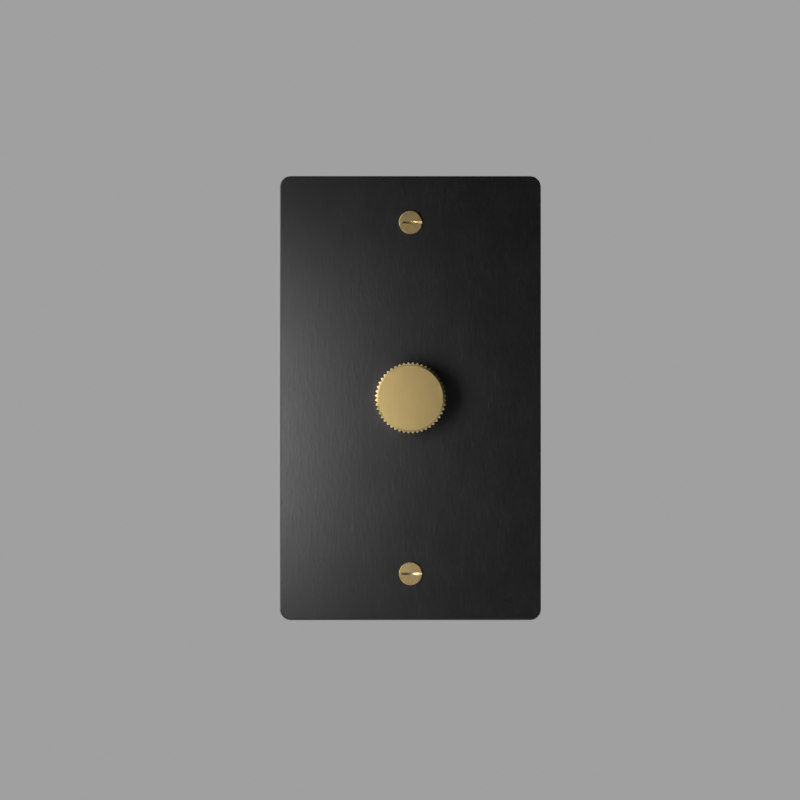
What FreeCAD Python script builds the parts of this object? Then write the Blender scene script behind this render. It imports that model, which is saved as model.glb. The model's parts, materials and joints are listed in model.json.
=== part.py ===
import FreeCAD, Part
import math
import os

os.makedirs("parts", exist_ok=True)

# Rotary push dimmer for a single wall box, in millimetres.
# X to the right, Z up, Y into the wall; the knob axis meets the wall plane at the origin.

# Clearances shared by every fit
running_clearance = 0.05
fixed_clearance = 0.02
air_gap = 0.3
component_gap = 0.8
screw_clearance = 0.15

# Face plate: shallow tray whose rim rests on the wall
plate_width = 72.0
plate_height = 122.6
plate_depth = 5.5
plate_skin = 1.5
plate_wall = 1.6
plate_corner_radius = 3.0
plate_edge_radius = 0.45
plate_screw_outset = 6.77
plate_boss_diameter = 6.4
plate_hole_diameter = 11.5

# Plate screws, saw slotted
plate_screw_diameter = 3.5
plate_screw_length = 11.0
plate_screw_head_diameter = 6.35
plate_screw_head_height = 1.15
plate_screw_bevel = 0.15
plate_screw_slot_width = 0.6
plate_screw_slot_depth = 0.85
slot_saw_radius = 8.0

# Knob: straight toothed grip with a smooth cap
knob_gap = 2.0
knob_length = 13.0
knob_tip_radius = 9.75
knob_teeth = 48
tooth_depth = 0.6
tooth_land = 0.14
tooth_front_chamfer = 0.85
knob_rear_chamfer = 0.4
cap_radius = 8.85
cap_height = 1.5
cap_bevel = 0.22
knob_bore_depth = 9.5

# Grub screw under the knob
grub_diameter = 3.0
grub_length = 5.0
grub_offset = 4.5
grub_socket_width = 1.5
grub_socket_depth = 2.0

# Shaft with a flat for the knob and a tongue for the rotor
shaft_diameter = 6.0
shaft_flat_offset = 1.5
shaft_tongue_width = 4.0
shaft_collar = 0.6
push_travel = 1.5
clip_thickness = 0.6
clip_outer_radius = 4.6
clip_groove_radius = 2.4
clip_mouth = 3.6

# Mounting strap
strap_setback = 0.2
strap_thickness = 1.5
strap_end_margin = 4.58
strap_end_width = 32.0
strap_margin = 2.0
strap_fin_width = 4.0
strap_fins = 2
score_width = 0.6
score_depth = 0.7
ear_notch_radius = 1.3
strap_end_radius = 4.0
strap_corner_radius = 2.0
box_screw_spacing = 83.3
box_slot_length = 7.0

# Box screws, held captive by fibre retainers on a thinner neck
box_screw_diameter = 3.5
box_screw_neck_diameter = 2.9
box_screw_head_diameter = 6.4
box_screw_head_height = 1.8
box_screw_length = 22.0
retainer_width = 9.0
retainer_thickness = 0.8

# Slots of the hidden pan heads
pan_bevel = 0.5
pan_slot_width = 1.0
pan_slot_depth = 0.9

# Bush, nut and washer that clamp the regulator to the strap
bush_diameter = 9.0
bush_flange_thickness = 1.2
bush_thread_showing = 1.3
bush_lug_offset = 7.75
bush_lug_width = 2.4
bush_lug_thickness = 1.1
bush_lug_height = 1.2
nut_width = 12.0
nut_thickness = 1.6
washer_radius = 6.6
washer_thickness = 0.4

# Regulator: resistance track, wiper rotor and case
case_radius = 8.5
case_wall = 0.6
case_floor_thickness = 0.8
track_thickness = 1.2
track_inner_radius = 5.2
tongue_width = 14.0
tongue_reach = 12.0
track_pin_pitch = 5.0
track_pin_width = 0.9
track_pin_thickness = 0.5
track_tag_width = 1.8
track_tag_height = 2.2
wiper_gap = 0.1
wiper_thickness = 0.4
wiper_finger_width = 1.6
wiper_finger_reach = 7.0
rotor_radius = 6.2
rotor_thickness = 2.2
hub_radius = 4.4
hub_length = 2.0
lug_radius = 7.5
lug_half_angle = 10.0
stop_half_angle = 20.0

# Push switch behind the regulator
switch_width = 15.0
switch_wall = 1.0
plunger_stem_radius = 2.6
plunger_flange_radius = 4.5
plunger_flange_thickness = 1.0
plunger_tail_radius = 1.4
plunger_tail_length = 1.6
bridge_width = 7.0
bridge_thickness = 0.4
contact_radius = 0.45
contact_head_radius = 0.6
contact_head_thickness = 0.4
contact_gap = 0.1
spring_length = 4.4
spring_radius = 2.3
spring_wire_diameter = 0.4
spring_turns = 4.5

# Circuit board
board_standoff = 0.6
board_thickness = 1.6
board_corner_radius = 1.0
pin_showing = 0.8
lead_radius = 0.3

# Triac clamped to the strap, with its pad, screw and nut
pad_thickness = 0.25
pad_margin = 0.5
triac_width = 10.0
triac_tab_thickness = 1.3
triac_body_height = 9.0
triac_body_thickness = 4.4
triac_leg_pitch = 2.54
triac_leg_width = 0.8
triac_leg_thickness = 0.5
triac_leg_drop = 2.0
triac_edge = 2.8
triac_screw_diameter = 3.0
triac_screw_head_diameter = 5.6
triac_screw_head_height = 1.6
triac_nut_width = 5.5
triac_nut_thickness = 2.4

# Choke: ring core with one layer of wire
core_outer_radius = 6.5
core_inner_radius = 3.4
core_height = 6.0
winding_thickness = 0.7
winding_angle = 310.0
winding_lead_angle = 10.0

# Box capacitors
filter_width = 5.0
filter_length = 11.0
filter_height = 10.0
filter_lead_spacing = 7.5
timing_width = 3.5
timing_length = 7.2
timing_height = 6.5
timing_lead_spacing = 5.0
capacitor_edge_radius = 0.6

# Axial resistor and diac
resistor_radius = 1.2
resistor_length = 6.5
diac_radius = 0.95
diac_length = 4.2
axial_lead_reach = 2.0
axial_inset = 7.0

# Rear housing
housing_width = 42.0
housing_end_room = 0.9
housing_wall = 2.0
housing_corner_radius = 3.0
housing_rear_radius = 1.5
housing_boss_radius = 3.2
housing_boss_inset = 2.6
ledge_width = 9.0
ledge_depth = 2.2
strip_gauge_length = 16.0
strip_gauge_width = 1.4
strip_gauge_depth = 0.5
housing_screw_diameter = 2.9
housing_screw_head_diameter = 5.6
housing_screw_head_height = 1.6
housing_screw_length = 12.0

# Terminal bays in the housing sides
bay_length = 8.2
bay_width = 9.6
bay_depth = 3.8
bay_wall = 1.6
terminal_offset = 10.0
terminal_plate_thickness = 1.0
terminal_plate_width = 7.6
terminal_tongue_width = 2.5
terminal_screw_diameter = 3.5
terminal_screw_head_diameter = 6.4
terminal_screw_head_height = 1.9
terminal_screw_wire_room = 2.2
terminal_screw_length = 6.0

# Ground screw in the strap
ground_screw_x = -11.0
ground_screw_diameter = 3.5
ground_screw_width = 7.0
ground_screw_head_height = 2.2
ground_screw_wire_room = 1.2
ground_screw_margin = 4.5
ground_screw_tip = 1.0

# Depth stations, from the knob inward
wall = 0.0
plate_front = wall - plate_depth
plate_inside = plate_front + plate_skin
knob_rear = plate_front - knob_gap
knob_front = knob_rear - knob_length
cap_base = knob_front + cap_height
bore_floor = knob_rear - knob_bore_depth
strap_back = wall - strap_setback
strap_front = strap_back - strap_thickness
washer_front = strap_front - washer_thickness
nut_front = washer_front - nut_thickness
bush_tip = nut_front - bush_thread_showing
flange_back = strap_back + bush_flange_thickness
clip_front = flange_back + running_clearance
clip_back = clip_front + clip_thickness
shaft_tongue_front = clip_back + shaft_collar
track_back = flange_back + track_thickness
wiper_front = track_back + wiper_gap
rotor_front = wiper_front + wiper_thickness
rotor_web_front = shaft_tongue_front + push_travel + air_gap
rotor_back = max(rotor_front + rotor_thickness, rotor_web_front + air_gap)
hub_back = rotor_back + hub_length
case_floor = hub_back + air_gap
case_back = case_floor + case_floor_thickness
switch_inside = case_back + switch_wall
bridge_front = switch_inside + air_gap
bridge_back = bridge_front + bridge_thickness
plunger_seat = bridge_back + plunger_flange_thickness
contact_front = bridge_back + push_travel + contact_gap
switch_floor = plunger_seat + spring_length
switch_back = switch_floor + switch_wall
board_front = switch_back + board_standoff
board_back = board_front + board_thickness
pin_end = board_back + pin_showing
bay_front = board_back + air_gap + bay_wall
housing_back = bay_front + bay_length
housing_floor = housing_back - housing_wall

# Places across the face
plate_screw_spacing = box_screw_spacing + 2 * plate_screw_outset
strap_length = plate_screw_spacing + 2 * strap_end_margin
plate_screw_heights = (plate_screw_spacing / 2, -plate_screw_spacing / 2)
box_screw_heights = (box_screw_spacing / 2, -box_screw_spacing / 2)
shaft_radius = shaft_diameter / 2
case_inner_radius = case_radius - case_wall
inner_half_width = housing_width / 2 - housing_wall
track_pin_places = {"left": -track_pin_pitch, "middle": 0.0, "right": track_pin_pitch}
track_pin_z = -(tongue_reach - air_gap - track_pin_thickness / 2)
contact_x = plunger_flange_radius + air_gap + contact_head_radius
contact_places = {"left": -contact_x, "right": contact_x}
triac_bottom = case_radius + triac_leg_drop + component_gap
triac_top_of_body = triac_bottom + triac_body_height
triac_hole_z = triac_top_of_body + triac_nut_width / math.sqrt(3.0) + air_gap
triac_top = triac_hole_z + triac_edge
triac_leg_z = triac_bottom - triac_leg_drop
triac_leg_places = (-triac_leg_pitch, 0.0, triac_leg_pitch)
tab_front = strap_back + pad_thickness
tab_back = tab_front + triac_tab_thickness
triac_back = tab_front + triac_body_thickness
winding_radius = core_outer_radius + winding_thickness
choke_z = -(tongue_reach + air_gap + winding_radius)
inner_half_height = max(winding_radius - choke_z, triac_top + pad_margin) + housing_end_room
housing_height = 2 * (inner_half_height + housing_wall)
boss_x = inner_half_width - housing_boss_inset
boss_z = inner_half_height - housing_boss_inset
boss_places = tuple((sx * boss_x, sz * boss_z) for sx in (-1, 1) for sz in (-1, 1))
choke_back = board_front - air_gap
core_back = choke_back - winding_thickness
core_front = core_back - core_height
filter_x = winding_radius + component_gap + filter_width / 2
filter_z = -(tongue_reach + filter_length / 2 - air_gap)
timing_x = -(winding_radius + component_gap + timing_width / 2)
timing_z = -(tongue_reach + timing_length / 2)
axial_x = inner_half_width - axial_inset
axial_z = triac_bottom + (triac_body_height / 2)
bay_floor_x = housing_width / 2 - bay_depth
terminal_outer_x = bay_floor_x + terminal_plate_thickness
terminal_y = bay_front + bay_length / 2
terminal_places = {
    "common": (-1, 0.0),
    "traveller_upper": (1, terminal_offset),
    "traveller_lower": (1, -terminal_offset),
}
ground_screw_z = -(housing_height / 2 + ground_screw_margin + air_gap)

ORIGIN = FreeCAD.Vector(0, 0, 0)
RIGHT = FreeCAD.Vector(1, 0, 0)
INWARD = FreeCAD.Vector(0, 1, 0)
UP = FreeCAD.Vector(0, 0, 1)


def point(x, y, z):
    """Point in the shared frame."""
    return FreeCAD.Vector(x, y, z)


def rod(radius, front, back, x=0.0, z=0.0):
    """Round bar along the depth."""
    return Part.makeCylinder(radius, back - front, point(x, front, z), INWARD)


def ring(outer, inner, front, back, x=0.0, z=0.0):
    """Flat ring along the depth."""
    return rod(outer, front, back, x, z).cut(rod(inner, front, back, x, z))


def block(x0, x1, front, back, z0, z1):
    """Box between two corners."""
    return Part.makeBox(x1 - x0, back - front, z1 - z0, point(x0, front, z0))


def slab(width, height, front, back, x=0.0, z=0.0):
    """Box centred on one place of the face."""
    return block(x - width / 2, x + width / 2, front, back, z - height / 2, z + height / 2)


def extruded(points, front, back):
    """Straight sided outline (x, z) run through a depth."""
    corners = [point(x, front, z) for x, z in points]
    outline = Part.makePolygon(corners + corners[:1])
    return Part.Face(outline).extrude(INWARD * (back - front))


def rounded_slab(width, height, radius, front, back, x=0.0, z=0.0):
    """Slab with four rounded corners; equal height and double radius give an obround."""
    half_x = width / 2 - radius
    half_z = height / 2 - radius
    arcs = []
    for sx, sz, start in ((1, 1, 0), (-1, 1, 90), (-1, -1, 180), (1, -1, 270)):
        spots = []
        for step in (0, 45, 90):
            angle = math.radians(start + step)
            spots.append(point(x + sx * half_x + radius * math.cos(angle), front,
                               z + sz * half_z + radius * math.sin(angle)))
        arcs.append(spots)
    edges = []
    for number, spots in enumerate(arcs):
        edges.append(Part.Arc(*spots).toShape())
        following = arcs[(number + 1) % len(arcs)][0]
        if spots[2].distanceToPoint(following) > fixed_clearance / 10:
            edges.append(Part.makeLine(spots[2], following))
    return Part.Face(Part.Wire(edges)).extrude(INWARD * (back - front))


def hexagon(width, front, back, x=0.0, z=0.0):
    """Six sided bar with a width across flats."""
    radius = width / math.sqrt(3.0)
    corners = []
    for number in range(6):
        angle = math.radians(60 * number)
        corners.append((x + radius * math.cos(angle), z + radius * math.sin(angle)))
    return extruded(corners, front, back)


def turned(profile):
    """Solid of revolution about the knob axis from (radius, y) corners."""
    corners = [point(radius, y, 0.0) for radius, y in profile]
    outline = Part.makePolygon(corners + corners[:1])
    return Part.Face(outline).revolve(ORIGIN, INWARD, 360)


def wedge(radius, front, back, middle, half_angle):
    """Slice round the axis about an angle, counted from +X toward +Z; it covers at least the radius."""
    reach = radius / math.cos(math.radians(half_angle))
    corners = [(0.0, 0.0)]
    for degrees in (middle - half_angle, middle, middle + half_angle):
        angle = math.radians(degrees)
        corners.append((reach * math.cos(angle), reach * math.sin(angle)))
    return extruded(corners, front, back)


def sector(outer, inner, front, back, middle, half_angle):
    """Part of a ring about an angle."""
    return ring(outer, inner, front, back).common(wedge(outer, front, back, middle, half_angle))


def joined(shapes):
    """One solid from touching or overlapping solids."""
    return shapes[0].multiFuse(shapes[1:]).removeSplitter()


def without(shape, cutters):
    """Shape less every cutter."""
    return shape.cut(Part.makeCompound(cutters))


def moved(shape, x, y, z):
    """Copy of a shape shifted to a place."""
    copy = shape.copy()
    copy.translate(point(x, y, z))
    return copy


def turned_to(shape, axis, degrees):
    """Copy of a shape turned about an axis through the origin."""
    copy = shape.copy()
    copy.rotate(ORIGIN, axis, degrees)
    return copy


def shaft_section(radius, flat_offset, front, back):
    """Round bar with one flat underneath."""
    bar = rod(radius, front, back)
    return bar.cut(block(-radius, radius, front, back, -radius - flat_offset, -flat_offset))


def slotted_screw(shank, length, head, height, bevel, slot_width, slot_depth):
    """Screw with its head toward -Y and its seat at y = 0; the slot runs across, cut by a round saw."""
    tip_bevel = shank / 8
    body = turned([
        (0.0, -height),
        (head / 2 - bevel, -height),
        (head / 2, bevel - height),
        (head / 2, 0.0),
        (shank / 2, 0.0),
        (shank / 2, length - tip_bevel),
        (shank / 2 - tip_bevel, length),
        (0.0, length),
    ])
    centre = slot_depth - height - slot_saw_radius
    saw = Part.makeCylinder(slot_saw_radius, slot_width, point(0.0, centre, -slot_width / 2), UP)
    return body.cut(saw)


def make_face_plate():
    """Pressed tray with two screw bosses and the hole for the bush."""
    tray = rounded_slab(plate_width, plate_height, plate_corner_radius, plate_front, wall)
    front_edges = [edge for edge in tray.Edges if abs(edge.BoundBox.YMax - plate_front) < fixed_clearance]
    tray = tray.makeFillet(plate_edge_radius, front_edges)
    inner_radius = max(plate_corner_radius - plate_wall, plate_edge_radius)
    hollow = rounded_slab(plate_width - 2 * plate_wall, plate_height - 2 * plate_wall, inner_radius,
                          plate_inside, wall)
    tray = tray.cut(hollow)
    bosses = [rod(plate_boss_diameter / 2, plate_inside, strap_front, 0.0, z) for z in plate_screw_heights]
    tray = joined([tray] + bosses)
    hole_radius = plate_screw_diameter / 2 + 2 * screw_clearance
    holes = [rod(hole_radius, plate_front, strap_front, 0.0, z) for z in plate_screw_heights]
    holes.append(rod(plate_hole_diameter / 2, plate_front, plate_inside))
    return without(tray, holes)


def make_plate_screws():
    """Two slotted screws that hold the plate to the strap."""
    screw = slotted_screw(plate_screw_diameter, plate_screw_length, plate_screw_head_diameter,
                          plate_screw_head_height, plate_screw_bevel, plate_screw_slot_width,
                          plate_screw_slot_depth)
    return Part.makeCompound([moved(screw, 0.0, plate_front, z) for z in plate_screw_heights])


def toothed_bar(front, back):
    """Straight V teeth round the grip; a groove stands at the top."""
    pitch = 2 * math.pi / knob_teeth
    half_land = tooth_land / knob_tip_radius / 2
    root_radius = knob_tip_radius - tooth_depth
    outline = []
    for number in range(knob_teeth):
        middle = math.pi / 2 + pitch * (number + 0.5)
        for angle, radius in ((middle - half_land, knob_tip_radius),
                              (middle + half_land, knob_tip_radius),
                              (middle + pitch / 2, root_radius)):
            outline.append((radius * math.cos(angle), radius * math.sin(angle)))
    return extruded(outline, front, back)


def make_knob():
    """Turned knob: toothed grip, stepped smooth cap, flatted bore and the tapped hole underneath."""
    envelope = turned([
        (0.0, knob_rear),
        (knob_tip_radius - knob_rear_chamfer, knob_rear),
        (knob_tip_radius, knob_rear - knob_rear_chamfer),
        (knob_tip_radius, cap_base + tooth_front_chamfer),
        (knob_tip_radius - tooth_front_chamfer, cap_base),
        (0.0, cap_base),
    ])
    grip = toothed_bar(cap_base, knob_rear).common(envelope)
    cap = turned([
        (0.0, cap_base),
        (cap_radius, cap_base),
        (cap_radius, knob_front + cap_bevel),
        (cap_radius - cap_bevel, knob_front),
        (0.0, knob_front),
    ])
    bore = shaft_section(shaft_radius + fixed_clearance, shaft_flat_offset + fixed_clearance,
                         bore_floor, knob_rear)
    grub_hole = Part.makeCylinder(grub_diameter / 2 + fixed_clearance, knob_tip_radius,
                                  point(0.0, knob_rear - grub_offset, 0.0), -UP)
    return without(joined([grip, cap]), [bore, grub_hole])


def make_grub_screw():
    """Headless screw with a hexagon socket, bearing on the shaft flat."""
    body = rod(grub_diameter / 2, 0.0, grub_length)
    socket = hexagon(grub_socket_width, grub_length - grub_socket_depth, grub_length)
    screw = turned_to(body.cut(socket), RIGHT, -90)
    return moved(screw, 0.0, knob_rear - grub_offset, -shaft_flat_offset - fixed_clearance)


def make_shaft():
    """Shaft with the knob flat in front, a clip groove and a two sided tongue behind."""
    shaft_front = bore_floor + air_gap
    bar = rod(shaft_radius, shaft_front, case_back)
    flat = block(-shaft_radius, shaft_radius, shaft_front, knob_rear,
                 -shaft_diameter, -shaft_flat_offset)
    groove = ring(shaft_diameter, clip_groove_radius, clip_front - fixed_clearance,
                  clip_back + fixed_clearance)
    sides = []
    for sx in (-1, 1):
        x = sx * (shaft_tongue_width / 2 + shaft_radius)
        sides.append(slab(shaft_diameter, 2 * shaft_diameter, shaft_tongue_front, case_back, x))
    return without(bar, [flat, groove] + sides)


def make_shaft_clip():
    """Open spring clip in the shaft groove; it stops the shaft behind the bush."""
    clip = ring(clip_outer_radius, clip_groove_radius + fixed_clearance, clip_front, clip_back)
    return clip.cut(slab(clip_mouth, clip_outer_radius, clip_front, clip_back, 0.0, -clip_outer_radius))


def make_bush():
    """Threaded bush with its flange and the lug that keeps it from turning in the strap."""
    body = turned([
        (shaft_radius + running_clearance, bush_tip),
        (bush_diameter / 2, bush_tip),
        (bush_diameter / 2, strap_back),
        (case_radius, strap_back),
        (case_radius, flange_back),
        (shaft_radius + running_clearance, flange_back),
    ])
    lug = slab(bush_lug_thickness, bush_lug_width, strap_back - bush_lug_height, flange_back,
               -bush_lug_offset)
    return joined([body, lug])


def make_bush_nut():
    """Hexagon nut on the bush thread."""
    nut = hexagon(nut_width, nut_front, washer_front)
    return nut.cut(rod(bush_diameter / 2 + fixed_clearance, nut_front, washer_front))


def make_bush_washer():
    """Flat washer between nut and strap."""
    return ring(washer_radius, bush_diameter / 2 + running_clearance, washer_front, strap_front)


def make_strap():
    """Mounting strap and heat sink: slotted box holes, tapped plate holes, scored break-off fins and ears."""
    ends = rounded_slab(strap_end_width, strap_length, strap_end_radius, strap_front, strap_back)
    middle_height = housing_height + 2 * strap_margin
    score_x = housing_width / 2 + strap_margin
    middle = rounded_slab(2 * (score_x + strap_fins * strap_fin_width), middle_height,
                          strap_corner_radius, strap_front, strap_back)
    strap = joined([ends, middle])
    slot_width = box_screw_diameter + 2 * screw_clearance
    holes = [rod(bush_diameter / 2 + running_clearance, strap_front, strap_back)]
    holes.append(slab(bush_lug_thickness + 2 * running_clearance, bush_lug_width + 2 * running_clearance,
                      strap_front, strap_back, -bush_lug_offset))
    for side in (-1, 1):
        for number in range(strap_fins):
            holes.append(slab(score_width, middle_height, strap_back - score_depth, strap_back,
                              side * (score_x + number * strap_fin_width)))
        for z in box_screw_heights:
            holes.append(rod(ear_notch_radius, strap_front, strap_back, side * strap_end_width / 2, z))
    for z in box_screw_heights:
        holes.append(rounded_slab(box_slot_length, slot_width, slot_width / 2, strap_front, strap_back,
                                  0.0, z))
    for z in plate_screw_heights:
        holes.append(rod(plate_screw_diameter / 2 + running_clearance, strap_front, strap_back, 0.0, z))
    for x, z in boss_places:
        holes.append(rod(housing_screw_diameter / 2 + screw_clearance, strap_front, strap_back, x, z))
    holes.append(rod(triac_screw_diameter / 2 + screw_clearance, strap_front, strap_back, 0.0, triac_hole_z))
    holes.append(rod(ground_screw_diameter / 2 + running_clearance, strap_front, strap_back,
                     ground_screw_x, ground_screw_z))
    return without(strap, holes)


def make_box_screws():
    """Two long screws for the wall box, with the thinner neck that keeps them captive."""
    screw = slotted_screw(box_screw_diameter, box_screw_length, box_screw_head_diameter,
                          box_screw_head_height, pan_bevel, pan_slot_width, pan_slot_depth)
    neck_end = strap_thickness + retainer_thickness + component_gap
    screw = screw.cut(ring(box_screw_diameter, box_screw_neck_diameter / 2, 0.0, neck_end))
    return Part.makeCompound([moved(screw, 0.0, strap_front, z) for z in box_screw_heights])


def make_screw_retainers():
    """Two fibre squares pushed over the screw necks behind the strap."""
    retainers = []
    for z in box_screw_heights:
        square = slab(retainer_width, retainer_width, strap_back, strap_back + retainer_thickness, 0.0, z)
        hole = rod(box_screw_neck_diameter / 2 + screw_clearance, strap_back,
                   strap_back + retainer_thickness, 0.0, z)
        retainers.append(square.cut(hole))
    return Part.makeCompound(retainers)


def make_ground_screw():
    """Hexagon headed binding screw in the strap, head toward the box."""
    head_front = strap_back + ground_screw_wire_room
    head_back = head_front + ground_screw_head_height
    head = hexagon(ground_screw_width, head_front, head_back)
    shank = rod(ground_screw_diameter / 2, strap_front - ground_screw_tip, head_front)
    slot = slab(2 * ground_screw_width, pan_slot_width, head_back - pan_slot_depth, head_back)
    return moved(joined([head, shank]).cut(slot), ground_screw_x, 0.0, ground_screw_z)


def make_track():
    """Insulating wafer of the resistance track with the tongue that carries its pins."""
    wafer = ring(case_inner_radius - fixed_clearance, track_inner_radius, flange_back, track_back)
    tongue = block(-tongue_width / 2, tongue_width / 2, flange_back, track_back,
                   -tongue_reach, -track_inner_radius)
    return joined([wafer, tongue.cut(rod(track_inner_radius, flange_back, track_back))])


def make_track_pin(x):
    """Bent pin from the wafer to the circuit board."""
    tag_top = track_pin_z - track_pin_thickness / 2 + track_tag_height
    tag = block(x - track_tag_width / 2, x + track_tag_width / 2, track_back,
                track_back + track_pin_thickness, track_pin_z - track_pin_thickness / 2, tag_top)
    leg = slab(track_pin_width, track_pin_thickness, track_back, pin_end, x, track_pin_z)
    return joined([tag, leg])


def make_regulator_case():
    """Pressed cup over track and rotor, with the turn stop inside at the bottom."""
    cup = rod(case_radius, flange_back, case_back)
    cup = cup.cut(rod(case_inner_radius, flange_back, case_floor))
    stop = sector(case_inner_radius, rotor_radius + air_gap, rotor_front, rotor_back, -90.0, stop_half_angle)
    cup = joined([cup, stop])
    window = block(-tongue_width / 2 - fixed_clearance, tongue_width / 2 + fixed_clearance, flange_back,
                   track_back + fixed_clearance, -tongue_reach, 0.0)
    opening = rod(shaft_radius + air_gap, case_floor, case_back)
    return without(cup, [window, opening])


def make_rotor():
    """Moulded wiper carrier: rim, hub with the tongue hole, and the lug that meets the stop."""
    disc = rod(rotor_radius, rotor_front, rotor_back)
    hub = rod(hub_radius, rotor_front, hub_back)
    lug = sector(lug_radius, hub_radius, rotor_front, rotor_back, 90.0, lug_half_angle)
    recess = rod(clip_outer_radius + air_gap, rotor_front, rotor_web_front)
    hole = rod(shaft_radius + running_clearance, rotor_front, hub_back)
    side = shaft_tongue_width / 2 + running_clearance
    hole = hole.common(block(-side, side, rotor_front, hub_back, -shaft_diameter, shaft_diameter))
    return without(joined([disc, hub, lug]), [recess, hole])


def make_wiper():
    """Springy contact ring on the rotor with one finger over the track."""
    inner = clip_outer_radius + air_gap
    hoop = ring(rotor_radius, inner, wiper_front, rotor_front)
    finger = block(-wiper_finger_width / 2, wiper_finger_width / 2, wiper_front, rotor_front,
                   inner, wiper_finger_reach)
    return joined([hoop, finger])


def make_switch_case():
    """Moulded push switch box behind the regulator."""
    box = slab(switch_width, switch_width, case_back, switch_back)
    inside = switch_width - 2 * switch_wall
    cavity = slab(inside, inside, switch_inside, switch_floor)
    opening = rod(shaft_radius + air_gap, case_back, switch_inside)
    hole_radius = contact_radius + fixed_clearance
    holes = [rod(hole_radius, switch_floor, switch_back, x) for x in contact_places.values()]
    return without(box, [cavity, opening] + holes)


def make_plunger():
    """Plunger pushed by the shaft; its flange carries the contact bridge and the spring."""
    stem = rod(plunger_stem_radius, case_back, bridge_back)
    flange = rod(plunger_flange_radius, bridge_back, plunger_seat)
    tail = rod(plunger_tail_radius, plunger_seat, plunger_seat + plunger_tail_length)
    return joined([stem, flange, tail])


def make_contact_bridge():
    """Contact strip round the plunger stem, just in front of the flange."""
    reach = contact_x + contact_head_radius
    strip = slab(2 * reach, bridge_width, bridge_front, bridge_back)
    return strip.cut(rod(plunger_stem_radius + fixed_clearance, bridge_front, bridge_back))


def make_contact(x):
    """Fixed contact with a flat head, soldered into the board."""
    head = rod(contact_head_radius, contact_front, contact_front + contact_head_thickness, x)
    pin = rod(contact_radius, contact_front, pin_end, x)
    return joined([head, pin])


def make_return_spring():
    """Coil spring between the plunger flange and the switch floor."""
    wire_radius = spring_wire_diameter / 2
    height = spring_length - spring_wire_diameter
    path = Part.makeHelix(height / spring_turns, height, spring_radius)
    slope = math.atan2(height / spring_turns, 2 * math.pi * spring_radius)
    heading = point(0.0, math.cos(slope), math.sin(slope))
    section = Part.Wire(Part.makeCircle(wire_radius, point(spring_radius, 0.0, 0.0), heading))
    coil = Part.Wire(path.Edges).makePipeShell([section], True, True)
    return moved(turned_to(coil, RIGHT, -90), 0.0, plunger_seat + wire_radius, 0.0)


def make_board():
    """Circuit board with notches for the housing bosses and holes for every lead."""
    width = 2 * (inner_half_width - air_gap)
    height = 2 * (inner_half_height - air_gap)
    play = 2 * running_clearance
    board = rounded_slab(width, height, board_corner_radius, board_front, board_back)
    cuts = [rod(housing_boss_radius + air_gap, board_front, board_back, x, z) for x, z in boss_places]
    for x, z in boss_places:
        cuts.append(slab(2 * housing_boss_inset, 2 * housing_boss_radius, board_front, board_back,
                         math.copysign(inner_half_width, x), z))
        cuts.append(slab(2 * housing_boss_radius, 2 * housing_boss_inset, board_front, board_back,
                         x, math.copysign(inner_half_height, z)))
    for x in track_pin_places.values():
        cuts.append(slab(track_pin_width + play, track_pin_thickness + play, board_front, board_back,
                         x, track_pin_z))
    for x in contact_places.values():
        cuts.append(rod(contact_radius + running_clearance, board_front, board_back, x))
    for x in triac_leg_places:
        cuts.append(slab(triac_leg_width + play, triac_leg_thickness + play, board_front, board_back,
                         x, triac_leg_z))
    for x, z in lead_places():
        cuts.append(rod(lead_radius + running_clearance, board_front, board_back, x, z))
    for side, z in terminal_places.values():
        middle = side * (bay_floor_x + terminal_plate_thickness / 2)
        cuts.append(slab(terminal_plate_thickness + play, terminal_tongue_width + play,
                         board_front, board_back, middle, z))
    return without(board, cuts)


def lead_places():
    """Where the round leads of choke, capacitors, resistor and diac pass the board."""
    reach = (core_outer_radius + core_inner_radius) / 2
    lean = math.radians((360.0 - winding_angle) / 2 + winding_lead_angle)
    choke = [(sx * reach * math.sin(lean), choke_z + reach * math.cos(lean)) for sx in (-1, 1)]
    filters = [(filter_x, filter_z + sz * filter_lead_spacing / 2) for sz in (-1, 1)]
    timing = [(timing_x, timing_z + sz * timing_lead_spacing / 2) for sz in (-1, 1)]
    resistor = [(-axial_x, axial_z + sz * (resistor_length / 2 + axial_lead_reach)) for sz in (-1, 1)]
    diac = [(axial_x, axial_z + sz * (diac_length / 2 + axial_lead_reach)) for sz in (-1, 1)]
    return choke + filters + timing + resistor + diac


def make_triac():
    """Triac with a metal tab against the pad and three legs bent to the board."""
    half = triac_width / 2
    tab = block(-half, half, tab_front, tab_back, triac_bottom, triac_top)
    body = block(-half, half, tab_front, triac_back, triac_bottom, triac_top_of_body)
    middle = (tab_back + triac_back) / 2
    half_leg = triac_leg_thickness / 2
    pieces = [tab, body]
    for x in triac_leg_places:
        pieces.append(block(x - triac_leg_width / 2, x + triac_leg_width / 2,
                            middle - half_leg, middle + half_leg, triac_leg_z - half_leg, triac_bottom))
        pieces.append(slab(triac_leg_width, triac_leg_thickness, middle, pin_end, x, triac_leg_z))
    hole = rod(triac_screw_diameter / 2 + screw_clearance, tab_front, tab_back, 0.0, triac_hole_z)
    return joined(pieces).cut(hole)


def make_triac_pad():
    """Thin insulating pad between triac and strap."""
    half = triac_width / 2 + pad_margin
    pad = block(-half, half, strap_back, tab_front, triac_bottom - pad_margin, triac_top + pad_margin)
    return pad.cut(rod(triac_screw_diameter / 2 + screw_clearance, strap_back, tab_front, 0.0, triac_hole_z))


def make_triac_screw():
    """Screw through strap, pad and tab."""
    length = tab_back + triac_nut_thickness + pin_showing - strap_front
    screw = slotted_screw(triac_screw_diameter, length, triac_screw_head_diameter, triac_screw_head_height,
                          pan_bevel, pan_slot_width, pan_slot_depth)
    return moved(screw, 0.0, strap_front, triac_hole_z)


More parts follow.
